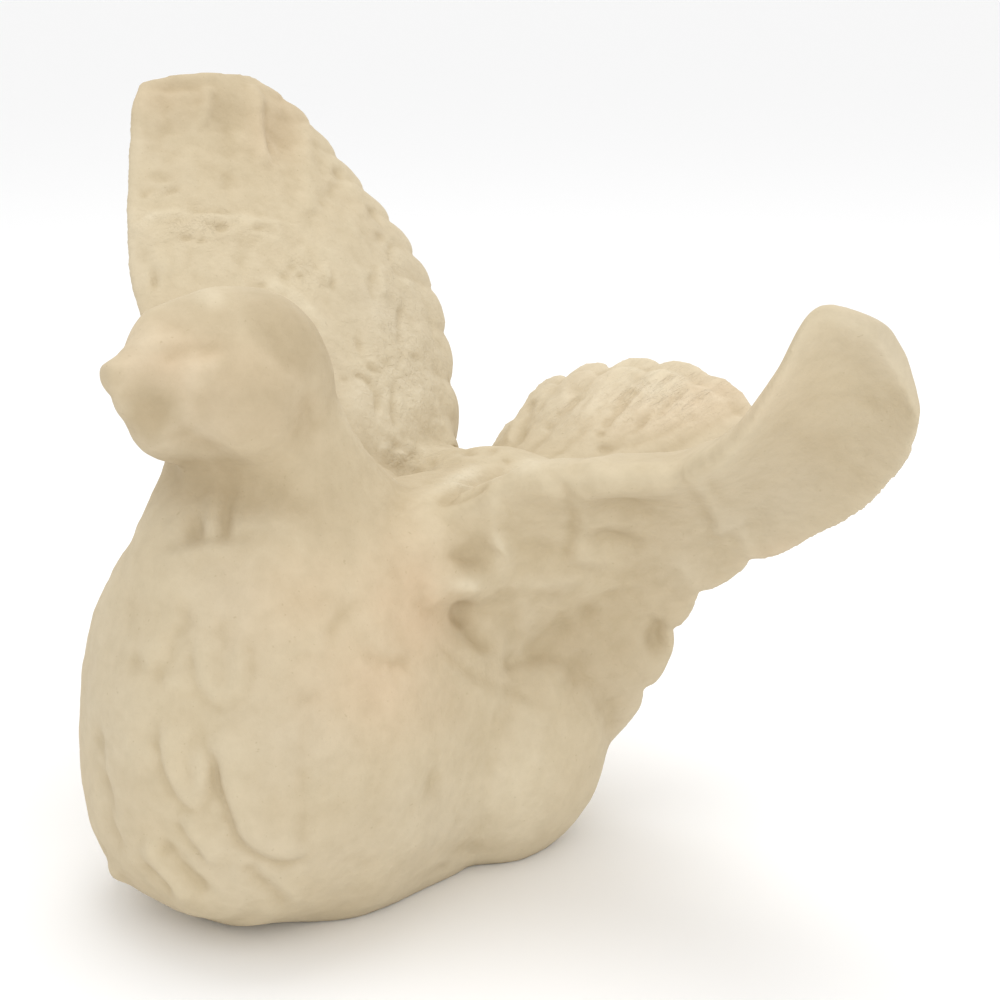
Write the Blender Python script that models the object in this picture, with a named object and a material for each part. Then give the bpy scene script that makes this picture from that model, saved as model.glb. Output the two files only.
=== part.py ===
"""Dove statue cast in one piece: head, body, two raised wings and a raised, fanned tail, standing on its flat underside.

Metres, +Z up. The bird faces -Y, its left wing is on +X. Sizes below are in millimetres and are turned into metres at the end.
The origin is at the middle of the bounding box, on the plane it stands on."""

import math

import bmesh
import bpy
from mathutils import Vector

for old in list(bpy.data.objects):
    bpy.data.objects.remove(old, do_unlink=True)

MM = 0.001
VOXEL = 1.0  # size of the grid that joins the forms
FILLET_ROUNDS = 7  # smoothing of the joints between forms
TRIANGLES = 8200  # of the finished casting
BASE_CUT = 0.0  # height of the plane that the bird stands on

# Torso, cross-sections along the body: position y, half width, height of the widest line, rise above it, and the
# half width where the section meets the floor (or, below zero, how far its lowest point clears the floor)
TORSO = (
    (-50.5, 4.0, 32.0, 8.0, -25.0),
    (-48.5, 12.0, 31.0, 18.0, -15.0),
    (-45.0, 20.0, 31.0, 27.0, -8.0),
    (-41.0, 26.0, 32.0, 35.0, -4.0),
    (-35.5, 30.0, 33.0, 41.0, -1.0),
    (-29.5, 32.0, 33.5, 43.5, 9.0),
    (-22.0, 33.0, 34.0, 43.0, 17.0),
    (-12.0, 33.0, 34.0, 43.0, 22.0),
    (4.0, 29.0, 34.0, 41.0, 20.0),
    (18.0, 27.0, 33.0, 40.0, 18.0),
    (32.0, 25.0, 31.0, 41.0, 18.0),
    (44.0, 21.0, 29.0, 38.0, 15.0),
    (52.0, 14.0, 29.0, 31.0, 8.0),
    (58.0, 7.0, 32.0, 20.0, -14.0),
)
FOOT_SHIFT = -2.5  # the chest leans this far to the bird's right at the floor
BELLY_POWER = 2.5  # how square the lower half of a torso section is
# Haunches, shoulders and cheeks: middle, then half sizes; mirrored on the other side
HAUNCH = ((13.5, 28.0, 22.0), (18.0, 26.0, 26.0))
SHOULDER = ((17.0, 8.0, 64.0), (13.0, 22.0, 12.0))
CHEEK = ((8.6, -26.5, 95.5), (8.8, 11.5, 11.5))
SADDLE = ((-3.0, 43.0, 60.0), (19.0, 18.0, 14.0))  # the back between wings and tail
WING_FOOT = ((-17.0, 44.0, 60.0), (10.0, 14.0, 11.5))  # fills the corner between the back and the far wing
# Neck, level sections from the chest up: height z, position y, half width, half depth
NECK = (
    (44.0, -11.0, 30.0, 35.0),
    (56.0, -11.0, 28.5, 33.0),
    (66.0, -12.5, 25.5, 30.5),
    (76.0, -14.5, 20.5, 23.5),
    (84.0, -16.5, 16.5, 18.0),
    (92.0, -19.5, 15.0, 16.5),
    (100.0, -21.0, 13.0, 14.0),
)
# Head and beak, upright sections from the nape to the tip of the beak: y, half width, height, rise, drop
HEAD = (
    (-5.5, 5.0, 94.0, 7.0, 8.0),
    (-8.0, 9.5, 94.5, 12.0, 12.0),
    (-12.5, 13.2, 95.5, 16.0, 15.0),
    (-18.5, 15.2, 96.8, 17.2, 17.0),
    (-26.0, 15.4, 97.8, 16.8, 17.5),
    (-33.0, 13.2, 99.0, 14.0, 16.0),
    (-39.0, 9.5, 100.2, 10.4, 14.3),
    (-44.0, 6.2, 101.0, 6.5, 11.4),
    (-47.0, 3.8, 101.7, 3.8, 7.2),
    (-50.0, 2.2, 102.0, 2.3, 2.8),
)
# Wings: leading and trailing edge at stations from the root to the tip, then thickness there
FAR_WING = (
    ((-7.0, -10.0, 56.0), (-18.0, 46.0, 20.0), 15.0),
    ((-22.0, -10.0, 76.0), (-25.0, 54.0, 52.0), 12.0),
    ((-36.0, -11.0, 92.0), (-34.0, 62.5, 77.0), 9.0),
    ((-49.0, -8.5, 105.0), (-47.0, 70.0, 94.5), 8.0),
    ((-61.0, -1.0, 117.5), (-58.0, 69.5, 108.0), 7.0),
    ((-70.0, 6.5, 128.0), (-69.0, 65.0, 121.0), 6.0),
    ((-76.5, 12.0, 136.5), (-76.0, 57.0, 134.0), 5.5),
    ((-80.5, 17.5, 142.5), (-80.0, 48.0, 141.5), 5.0),
)
NEAR_WING = (
    ((8.0, -8.0, 56.0), (20.0, 47.0, 12.0), 15.0),
    ((22.0, 2.0, 72.0), (31.5, 52.0, 28.0), 15.0),
    ((37.0, 8.0, 81.0), (38.0, 52.5, 41.5), 13.0),
    ((50.0, 11.5, 83.5), (43.5, 51.5, 50.5), 11.0),
    ((66.0, 17.0, 85.5), (52.0, 53.5, 58.0), 9.0),
    ((80.0, 14.5, 94.0), (66.0, 53.5, 66.5), 7.0),
    ((89.5, 13.0, 106.0), (81.0, 51.5, 76.5), 6.0),
    ((97.0, 13.0, 118.0), (95.0, 42.5, 88.5), 5.5),
    ((102.0, 21.5, 115.0), (103.5, 33.0, 99.0), 5.0),
)
FAR_CAMBER, NEAR_CAMBER = 6.0, 7.0  # how far each wing bows toward the back of the bird
FAR_LOBES, NEAR_LOBES = 13.4, 7.5  # feather ends along each trailing edge
FAR_LOBE_DEPTH, NEAR_LOBE_DEPTH = 2.4, 4.6
COVERT_STEP = 1.2  # how far the coverts stand above the long feathers
COVERT_END = 0.55  # of the far wing's length
BLADE_STEP = 0.8
FAR_FEATHERS = 5
FEATHER_DEPTH = 1.6
# Near wing's hollows: place along the wing, place across it, half sizes both ways
NEAR_HOLLOWS = ((0.37, 0.30, 0.07, 0.20), (0.205, 0.28, 0.04, 0.13), (0.14, 0.15, 0.025, 0.10))
HOLLOW_DEPTH = 2.0
# Tail fan
TAIL_ROOT = Vector((0.0, 30.0, 52.0))
TAIL_RISE = math.radians(31.0)
TAIL_LENGTH = 65.3
TAIL_HALF_SPREAD = (math.radians(32.0), math.radians(33.0))  # to the bird's right, to its left
TAIL_FEATHERS = 3.175  # on each half of the fan
TAIL_SHIFT = 0.49  # of a feather, so the outermost one on the bird's right is narrow
TAIL_STEPS = (0.82, 0.965, 0.985)  # lengths of the three outer feathers on the bird's right
TAIL_THICK = 8.5
TAIL_GROOVE = 1.0  # between the feathers of the fan


def spline(rows, t):
    """Catmull-Rom through rows of numbers; t runs from 0 to 1."""
    n = len(rows) - 1
    at = min(max(t, 0.0), 1.0) * n
    i = min(int(at), n - 1)
    f = at - i
    p0, p1, p2, p3 = rows[max(i - 1, 0)], rows[i], rows[i + 1], rows[min(i + 2, n)]
    return [
        0.5 * (2 * b + (c - a) * f + (2 * a - 5 * b + 4 * c - d) * f * f + (3 * b - a - 3 * c + d) * f**3)
        for a, b, c, d in zip(p0, p1, p2, p3)
    ]


def loft(bm, rings, flat=False):
    """Joins closed rings of points and closes both ends: with a fan or, for flat rings, with a strip across from edge to edge."""
    loops = [[bm.verts.new(p) for p in ring] for ring in rings]
    n = len(loops[0])
    for a, b in zip(loops, loops[1:]):
        for i in range(n):
            j = (i + 1) % n
            bm.faces.new((a[i], a[j], b[j], b[i]))
    for loop, flip in ((loops[0], True), (loops[-1], False)):
        if flat:
            for i in range(n // 2):
                face = [loop[i], loop[i + 1]] + [loop[k] for k in (n - i - 1, n - i) if k not in (i, i + 1, n)]
                bm.faces.new(face[::-1] if flip else face)
            continue
        middle = bm.verts.new(sum((v.co for v in loop), Vector()) / n)
        for i in range(n):
            j = (i + 1) % n
            bm.faces.new((middle, loop[j], loop[i]) if flip else (middle, loop[i], loop[j]))


def upright_ring(row, count=40):
    """Egg-shaped section across the body."""
    y, wide, mid, rise, drop = row
    ring = []
    for k in range(count):
        a = 2 * math.pi * k / count
        s = math.sin(a)
        ring.append(Vector((wide * math.cos(a), y, mid + (rise if s > 0 else drop) * s)))
    return ring


def torso_ring(row, count=48):
    """Upright section with a squarer lower half that meets the floor at a stated half width."""
    y, wide, mid, rise, foot = row
    n = BELLY_POWER
    drop = mid + foot if foot < 0 else mid / (1.0 - min(0.98, foot / wide) ** n) ** (1 / n)
    ring = []
    for k in range(count):
        a = 2 * math.pi * k / count
        c, s = math.cos(a), math.sin(a)
        if s > 0:
            ring.append(Vector((wide * c, y, mid + rise * s)))
        else:
            c = math.copysign(abs(c) ** (2 / n), c)
            z = mid - drop * abs(s) ** (2 / n)
            shift = FOOT_SHIFT * (1.0 - max(z, 0.0) / mid) * min(1.0, max(0.0, (10.0 - y) / 30.0))
            ring.append(Vector((wide * c + shift, y, z)))
    return ring


def egg(bm, middle, half):
    """Round form from a sphere."""
    before = set(bm.verts)
    bmesh.ops.create_uvsphere(bm, u_segments=40, v_segments=24, radius=1.0)
    for v in set(bm.verts) - before:
        v.co = Vector((middle[i] + half[i] * v.co[i] for i in range(3)))


def level_ring(row, count=40):
    z, y, wide, deep = row
    return [
        Vector((wide * math.cos(a), y + deep * math.sin(a), z))
        for a in (2 * math.pi * k / count for k in range(count))
    ]


def lobes(t, count, depth, out=0.25):
    """Rounded feather ends with notches between them. out: how much of their depth stands out past the edge."""
    f = (t * count) % 1.0
    return depth * (math.sqrt(max(0.0, 1.0 - (2 * f - 1) ** 2)) - 1.0 + out)


def rise(start, end, x):
    """Eases from 0 at start to 1 at end."""
    f = min(1.0, max(0.0, (x - start) / (end - start)))
    return f * f * (3 - 2 * f)


def far_carving(t, c):
    """Inner face of the far wing: a raised bed of coverts near the root, and beyond it long feathers that fan to the rim."""
    edge = COVERT_END - 0.17 * rise(0.40, 0.52, c)
    bed = COVERT_STEP * rise(edge + 0.04, edge - 0.01, t)
    q = (c - 0.25 * (t - COVERT_END)) / (1.0 + 1.2 * (t - COVERT_END))  # feathers spread toward the tip
    vane = (0.5 - 0.5 * math.cos(2 * math.pi * (FAR_FEATHERS * q - 0.9))) * FEATHER_DEPTH
    return bed - vane * rise(edge + 0.01, edge + 0.10, t) * rise(0.0, 0.08, c) * rise(1.0, 0.9, c)


def near_carving(t, c):
    """Outer face of the near wing: a bed of coverts stands above the plain blade, with hollows under the leading ridge."""
    cut = BLADE_STEP * rise(0.53, 0.48, t)
    for at, down, long, deep in NEAR_HOLLOWS:
        cut -= HOLLOW_DEPTH * math.exp(-(((t - at) / long) ** 2) - ((c - down) / deep) ** 2)
    return cut


def wing(bm, stations, camber, lobe_count, lobe_depth, lobe_out, upper_carving=None, lower_carving=None, plain=(9.0, 8.0), steps=96, across=30):
    """Wing blade between its two edges. plain: where along it the lobes of the rim end."""
    lead = [s[0] for s in stations]
    trail = [s[1] for s in stations]
    thick = [(s[2],) for s in stations]
    side = 1.0 if lead[-1][0] > 0 else -1.0
    rings = []
    for k in range(steps + 1):
        t = k / steps
        a, b = Vector(spline(lead, t)), Vector(spline(trail, t))
        ahead = Vector(spline(lead, min(t + 0.02, 1.0))) + Vector(spline(trail, min(t + 0.02, 1.0)))
        behind = Vector(spline(lead, max(t - 0.02, 0.0))) + Vector(spline(trail, max(t - 0.02, 0.0)))
        along = (ahead - behind).normalized()
        chord = b - a
        out = chord.normalized()
        b = b + out * lobes(t, lobe_count, lobe_depth * min(1.0, 7.0 * t) * rise(*plain, t), lobe_out)
        chord = b - a
        up = along.cross(out).normalized() * side  # toward the back of the bird
        half = spline(thick, t)[0] / 2
        bow = camber * (0.35 + 0.65 * math.sin(math.pi * min(1.0, 0.1 + 0.9 * t)))
        ring = []
        for m in range(2 * across):
            upper = m < across
            c = (m / across) if upper else 1.0 - (m - across) / across
            c = 0.5 - 0.5 * math.cos(math.pi * c)  # closer at both edges
            swell = (1.0 - (2 * c - 1) ** 2) ** 0.42 * (1.15 - 0.45 * c)
            lift = bow * 4 * c * (1 - c) + (half if upper else -half) * swell
            if upper and upper_carving:
                lift += upper_carving(t, c)
            if lower_carving and not upper:
                lift -= lower_carving(t, c)
            ring.append(a + chord * c + up * lift)
        rings.append(ring if side > 0 else ring[::-1])
    loft(bm, rings)


def tail(bm, steps=30, across=60):
    """Fan of feathers as rings along its length; each ring is a flat arc."""
    along = Vector((0.0, math.cos(TAIL_RISE), math.sin(TAIL_RISE)))
    over = Vector((0.0, -math.sin(TAIL_RISE), math.cos(TAIL_RISE)))
    across_dir = Vector((1.0, 0.0, 0.0))
    rings = []
    for k in range(steps + 1):
        r = k / steps
        ring = []
        for m in range(2 * across):
            upper = m < across
            c = (m / across) if upper else 1.0 - (m - across) / across
            u = -math.cos(math.pi * c)  # from -1 to 1 across the fan
            angle = u * TAIL_HALF_SPREAD[u > 0]
            feather = TAIL_FEATHERS * (u + 1) + TAIL_SHIFT
            end = TAIL_STEPS[int(feather)] if feather < len(TAIL_STEPS) else 1.015 + 0.1 * u - 0.045 * u * u
            end += lobes(feather, 1.0, 0.012 + 0.033 * rise(0.4, -0.2, u))
            reach = 6.0 + (TAIL_LENGTH * end - 6.0) * r
            half = TAIL_THICK * (1.0 - 0.45 * r) * max(0.12, 1 - u * u) ** 0.3 * (abs(u) < 0.999)
            half *= 1.0 if r < 0.93 else 0.65
            dish = -7.0 * u * u * (0.3 + 0.7 * r)
            p = TAIL_ROOT + along * (reach * math.cos(angle)) + across_dir * (reach * math.sin(angle) + (10.0 if u > 0 else 7.0) * u * (1 - r))
            vane = TAIL_GROOVE * (0.5 + 0.5 * math.cos(2 * math.pi * feather)) ** 2 * rise(0.15, 0.5, r) if upper else 0.0
            p = p + over * (dish + (half if upper else -half) * 0.5 - vane)
            ring.append(p)
        rings.append(ring[:1] + ring[:0:-1])
    loft(bm, rings, flat=True)


def forms():
    """All forms of the bird as closed, overlapping shells in one mesh, in millimetres."""
    bm = bmesh.new()
    loft(bm, [torso_ring(spline(TORSO, k / 48)) for k in range(49)])
    for side in (1, -1):
        for middle, half in (HAUNCH, SHOULDER, CHEEK):
            egg(bm, (side * middle[0], middle[1], middle[2]), half)
    loft(bm, [level_ring(spline(NECK, k / 24)) for k in range(25)])
    loft(bm, [upright_ring(spline(HEAD, k / 36)) for k in range(37)])
    egg(bm, *SADDLE)
    egg(bm, *WING_FOOT)
    wing(bm, FAR_WING, FAR_CAMBER, FAR_LOBES, FAR_LOBE_DEPTH, 0.25, upper_carving=far_carving)
    wing(bm, NEAR_WING, NEAR_CAMBER, NEAR_LOBES, NEAR_LOBE_DEPTH, 0.05, lower_carving=near_carving, plain=(0.68, 0.52))
    tail(bm)
    bmesh.ops.recalc_face_normals(bm, faces=bm.faces)
    mesh = bpy.data.meshes.new("forms")
    bm.to_mesh(mesh)
    bm.free()
    return mesh


def joined(mesh, voxel, rounds, triangles):
    """Runs the forms together in one skin, smooths the joints and thins the triangles."""
    ob = bpy.data.objects.new("forms", mesh)
    bpy.context.scene.collection.objects.link(ob)
    m = ob.modifiers.new("one skin", "REMESH")
    m.mode = "VOXEL"
    m.voxel_size = voxel
    m.adaptivity = 0.0
    m = ob.modifiers.new("fillets", "SMOOTH")
    m.factor = 0.5
    m.iterations = rounds
    m = ob.modifiers.new("triangles", "TRIANGULATE")
    now = bpy.context.evaluated_depsgraph_get()
    count = len(ob.evaluated_get(now).data.polygons)
    if triangles and count > triangles:
        m = ob.modifiers.new("thin", "DECIMATE")
        m.ratio = triangles / count
    now = bpy.context.evaluated_depsgraph_get()
    out = bpy.data.meshes.new_from_object(ob.evaluated_get(now))
    bpy.data.objects.remove(ob, do_unlink=True)
    return out


def stand_flat(mesh, height):
    """Cuts the underside level and closes it with one flat face."""
    bm = bmesh.new()
    bm.from_mesh(mesh)
    bmesh.ops.bisect_plane(
        bm, geom=bm.verts[:] + bm.edges[:] + bm.faces[:], dist=0.12,
        plane_co=(0, 0, height), plane_no=(0, 0, 1), clear_inner=True,
    )
    rim = [e for e in bm.edges if e.is_boundary]
    for v in {v for e in rim for v in e.verts}:
        v.co.z = height
    bmesh.ops.contextual_create(bm, geom=rim)
    bmesh.ops.dissolve_degenerate(bm, dist=0.05, edges=bm.edges)
    bmesh.ops.triangulate(bm, faces=bm.faces)
    bmesh.ops.recalc_face_normals(bm, faces=bm.faces)
    bm.to_mesh(mesh)
    bm.free()


def casting_material():
    mat = bpy.data.materials.new("cast_cream")
    mat.use_nodes = True
    shader = mat.node_tree.nodes["Principled BSDF"]
    shader.inputs["Base Color"].default_value = (0.66, 0.56, 0.40, 1.0)
    shader.inputs["Roughness"].default_value = 0.8
    shader.inputs["Metallic"].default_value = 0.0
    return mat


dove = joined(forms(), VOXEL, FILLET_ROUNDS, TRIANGLES)
stand_flat(dove, BASE_CUT)
low = [min(v.co[i] for v in dove.vertices) for i in range(3)]
high = [max(v.co[i] for v in dove.vertices) for i in range(3)]
middle = Vector(((low[0] + high[0]) / 2, (low[1] + high[1]) / 2, low[2]))
for v in dove.vertices:
    v.co = (v.co - middle) * MM
dove.name = "dove_statue"
dove.materials.clear()
dove.materials.append(casting_material())
statue = bpy.data.objects.new("dove_statue", dove)
bpy.context.scene.collection.objects.link(statue)
for poly in dove.polygons:
    poly.use_smooth = False
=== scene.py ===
import math

import bpy
import numpy as np
from mathutils import Matrix, Vector


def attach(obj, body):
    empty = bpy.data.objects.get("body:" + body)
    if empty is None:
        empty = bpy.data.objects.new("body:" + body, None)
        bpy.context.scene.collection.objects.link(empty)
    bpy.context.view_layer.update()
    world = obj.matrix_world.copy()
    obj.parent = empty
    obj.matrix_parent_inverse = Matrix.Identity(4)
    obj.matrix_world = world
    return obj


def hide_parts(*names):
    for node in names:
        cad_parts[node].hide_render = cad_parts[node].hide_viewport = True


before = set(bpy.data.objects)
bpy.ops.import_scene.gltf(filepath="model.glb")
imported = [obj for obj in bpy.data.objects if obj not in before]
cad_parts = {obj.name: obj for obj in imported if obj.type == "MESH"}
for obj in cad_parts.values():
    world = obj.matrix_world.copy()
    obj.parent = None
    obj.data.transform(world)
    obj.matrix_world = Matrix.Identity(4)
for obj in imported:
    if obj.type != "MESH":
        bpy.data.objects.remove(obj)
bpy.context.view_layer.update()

MM = 0.001
NODE = "dove_statue"
MIDDLE = np.array((11.024, 18.799, 0.0))  # the frame's origin, in the millimetres that the forms are drawn in
VOXEL = 0.62
MOST_TRIANGLES = 190_000

# ---------------------------------------------------------------- forms, in millimetres; the bird faces -Y
TORSO = (
    (-50.5, 4.0, 32.0, 8.0, -25.0),
    (-48.5, 12.0, 31.0, 18.0, -15.0),
    (-45.0, 20.0, 31.0, 27.0, -8.0),
    (-41.0, 26.0, 32.0, 35.0, -4.0),
    (-35.5, 30.0, 33.0, 41.0, -1.0),
    (-29.5, 32.0, 33.5, 43.5, 9.0),
    (-22.0, 33.0, 34.0, 43.0, 17.0),
    (-12.0, 33.0, 34.0, 43.0, 22.0),
    (4.0, 29.0, 34.0, 41.0, 20.0),
    (18.0, 27.0, 33.0, 40.0, 18.0),
    (32.0, 25.0, 31.0, 41.0, 18.0),
    (44.0, 21.0, 29.0, 38.0, 15.0),
    (52.0, 14.0, 29.0, 31.0, 8.0),
    (58.0, 7.0, 32.0, 20.0, -14.0),
)
FOOT_SHIFT = -2.5
BELLY_POWER = 2.5
HAUNCH = ((13.5, 28.0, 22.0), (18.0, 26.0, 26.0))
SHOULDER = ((17.0, 8.0, 64.0), (13.0, 22.0, 12.0))
CHEEK = ((8.6, -26.5, 95.5), (8.8, 11.5, 11.5))
SADDLE = ((-3.0, 43.0, 60.0), (19.0, 18.0, 14.0))
WING_FOOT = ((-17.0, 44.0, 60.0), (10.0, 14.0, 11.5))
NECK = (
    (44.0, -11.0, 30.0, 35.0),
    (56.0, -11.0, 28.5, 33.0),
    (66.0, -12.5, 25.5, 30.5),
    (76.0, -14.5, 20.5, 23.5),
    (84.0, -16.5, 16.5, 18.0),
    (92.0, -19.5, 15.0, 16.5),
    (100.0, -21.0, 13.0, 14.0),
)
HEAD = (
    (-5.5, 5.0, 94.0, 7.0, 8.0),
    (-8.0, 9.5, 94.5, 12.0, 12.0),
    (-12.5, 13.2, 95.5, 16.0, 15.0),
    (-18.5, 15.2, 96.8, 17.2, 17.0),
    (-26.0, 15.4, 97.8, 16.8, 17.5),
    (-33.0, 13.2, 99.0, 14.0, 16.0),
    (-39.0, 9.5, 100.2, 10.4, 14.3),
    (-44.0, 6.2, 101.0, 6.5, 11.4),
    (-47.0, 3.8, 101.7, 3.8, 7.2),
    (-50.0, 2.2, 102.0, 2.3, 2.8),
)
FAR_WING = (
    ((-7.0, -10.0, 56.0), (-18.0, 46.0, 20.0), 15.0),
    ((-22.0, -10.0, 76.0), (-25.0, 54.0, 52.0), 12.0),
    ((-36.0, -11.0, 92.0), (-34.0, 62.5, 77.0), 9.0),
    ((-49.0, -8.5, 105.0), (-47.0, 70.0, 94.5), 8.0),
    ((-61.0, -1.0, 117.5), (-58.0, 69.5, 108.0), 7.0),
    ((-70.0, 6.5, 128.0), (-69.0, 65.0, 121.0), 6.0),
    ((-76.5, 12.0, 136.5), (-76.0, 57.0, 134.0), 5.5),
    ((-80.5, 17.5, 142.5), (-80.0, 48.0, 141.5), 5.0),
)
NEAR_WING = (
    ((8.0, -8.0, 56.0), (20.0, 47.0, 12.0), 15.0),
    ((22.0, 2.0, 72.0), (31.5, 52.0, 28.0), 15.0),
    ((37.0, 8.0, 81.0), (38.0, 52.5, 41.5), 13.0),
    ((50.0, 11.5, 83.5), (43.5, 51.5, 50.5), 11.0),
    ((66.0, 17.0, 85.5), (52.0, 53.5, 58.0), 9.0),
    ((80.0, 14.5, 94.0), (66.0, 53.5, 66.5), 7.0),
    ((89.5, 13.0, 106.0), (81.0, 51.5, 76.5), 6.0),
    ((97.0, 13.0, 118.0), (95.0, 42.5, 88.5), 5.5),
    ((102.0, 21.5, 115.0), (103.5, 33.0, 99.0), 5.0),
)
FAR_CAMBER, NEAR_CAMBER = 6.0, 7.0
FAR_LOBES, NEAR_LOBES = 13.4, 7.5
FAR_LOBE_DEPTH, NEAR_LOBE_DEPTH = 2.4, 4.6
TAIL_ROOT = np.array((0.0, 30.0, 52.0))
TAIL_RISE = math.radians(31.0)
TAIL_LENGTH = 65.3
TAIL_HALF_SPREAD = (math.radians(32.0), math.radians(33.0))
TAIL_FEATHERS = 3.175
TAIL_SHIFT = 0.49
TAIL_STEPS = (0.82, 0.965, 0.985)
TAIL_THICK = 8.5

# ---------------------------------------------------------------- camera: front left of the bird, a little above it
AZIMUTH, ELEVATION = math.radians(45.0), math.radians(15.0)
DISTANCE = 420.0
FOCAL = 5.2 * DISTANCE  # in picture pixels, of 1000 across
ORIGIN_AT = (345.0, 862.0)  # where the forms' origin shows in the picture
BACK = np.array((math.sin(AZIMUTH) * math.cos(ELEVATION), -math.cos(AZIMUTH) * math.cos(ELEVATION), math.sin(ELEVATION)))
RIGHT = np.array((math.cos(AZIMUTH), math.sin(AZIMUTH), 0.0))
UP = np.cross(BACK, RIGHT)
EYE = -(RIGHT * (ORIGIN_AT[0] - 500) + UP * (500 - ORIGIN_AT[1])) / FOCAL * DISTANCE + BACK * DISTANCE


def in_picture(p):
    """Where points of the forms show, in pixels."""
    d = p - EYE
    far = -(d @ BACK)
    return np.stack([500 + FOCAL * (d @ RIGHT) / far, 500 - FOCAL * (d @ UP) / far], -1)


# ---------------------------------------------------------------- curves and lofts
def spline(rows, t):
    rows = np.asarray(rows, float)
    if rows.ndim == 1:
        rows = rows[:, None]
    n = len(rows) - 1
    at = np.clip(np.asarray(t, float), 0.0, 1.0) * n
    i = np.minimum(at.astype(int), n - 1)
    f = (at - i)[:, None]
    p0, p1, p2, p3 = rows[np.maximum(i - 1, 0)], rows[i], rows[i + 1], rows[np.minimum(i + 2, n)]
    return 0.5 * (2 * p1 + (p2 - p0) * f + (2 * p0 - 5 * p1 + 4 * p2 - p3) * f**2 + (3 * p1 - p0 - 3 * p2 + p3) * f**3)


def smooth(a, b, x):
    t = np.clip((x - a) / (b - a), 0.0, 1.0)
    return t * t * (3 - 2 * t)


class Shells:
    """Closed shells gathered in one mesh."""

    def __init__(self):
        self.points, self.faces, self.count = [], [], 0

    def loft(self, rings, flat=False):
        s, n = rings.shape[:2]
        start = self.count
        i, j = np.meshgrid(np.arange(s - 1), np.arange(n), indexing="ij")
        k = (j + 1) % n
        quads = np.stack([i * n + j, i * n + k, (i + 1) * n + k, (i + 1) * n + j], -1).reshape(-1, 4) + start
        self.points.append(rings.reshape(-1, 3))
        self.points.append(np.stack([rings[0].mean(0), rings[-1].mean(0)]))
        a, b = start + s * n, start + s * n + 1
        j = np.arange(n)
        k = (j + 1) % n
        first_cap = np.stack([np.full(n, a), start + k, start + j], -1)
        last_cap = np.stack([np.full(n, b), start + (s - 1) * n + j, start + (s - 1) * n + k], -1)
        self.faces += quads.tolist()
        if flat:  # a strip between the two edges of the ring
            for at, turn in ((start, -1), (start + (s - 1) * n, 1)):
                for i in range(n // 2):
                    face = [i, i + 1] + [q for q in (n - i - 1, n - i) if q not in (i, i + 1, n)]
                    self.faces.append([at + q for q in face][::turn])
        else:
            self.faces += first_cap.tolist() + last_cap.tolist()
        self.count += s * n + 2

    def mesh(self):
        me = bpy.data.meshes.new("forms")
        me.from_pydata(np.concatenate(self.points).tolist(), [], self.faces)
        me.update()
        return me


def upright(rows, steps, count=96):
    r = spline(rows, np.linspace(0, 1, steps))
    a = 2 * np.pi * np.arange(count) / count
    c, s = np.cos(a), np.sin(a)
    y, wide, mid, rise, drop = (r[:, i : i + 1] for i in range(5))
    z = mid + np.where(s > 0, rise * s, drop * s)
    return np.stack([wide * c, y + 0 * c, z], -1)


def torso(steps=120, count=128):
    r = spline(TORSO, np.linspace(0, 1, steps))
    a = 2 * np.pi * np.arange(count) / count
    c, s = np.cos(a), np.sin(a)
    y, wide, mid, rise, foot = (r[:, i : i + 1] for i in range(5))
    n = BELLY_POWER
    drop = np.where(foot < 0, mid + foot, mid / (1.0 - np.clip(foot / wide, 0.0, 0.98) ** n) ** (1 / n))
    low = s <= 0
    x = wide * np.where(low, np.sign(c) * np.abs(c) ** (2 / n), c)
    z = mid + np.where(low, -drop * np.abs(s) ** (2 / n), rise * s)
    shift = FOOT_SHIFT * (1.0 - np.clip(z, 0.0, None) / mid) * np.clip((10.0 - y) / 30.0, 0.0, 1.0)
    return np.stack([x + np.where(low, shift, 0.0), y + 0 * c, z], -1)


def level(rows, steps, count=96):
    r = spline(rows, np.linspace(0, 1, steps))
    a = 2 * np.pi * np.arange(count) / count
    z, y, wide, deep = (r[:, i : i + 1] for i in range(4))
    return np.stack([wide * np.cos(a), y + deep * np.sin(a), z + 0 * a], -1)


def egg(middle, half, steps=48, count=80):
    b = np.linspace(0.02, math.pi - 0.02, steps)[:, None]
    a = 2 * np.pi * np.arange(count) / count
    p = np.stack([np.sin(b) * np.cos(a), np.sin(b) * np.sin(a), -np.cos(b) + 0 * a], -1)
    return p * np.array(half) + np.array(middle)


def lobes(t, count, depth, out=0.25):
    f = (t * count) % 1.0
    return depth * (np.sqrt(np.clip(1.0 - (2 * f - 1) ** 2, 0.0, None)) - 1.0 + out)


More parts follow.
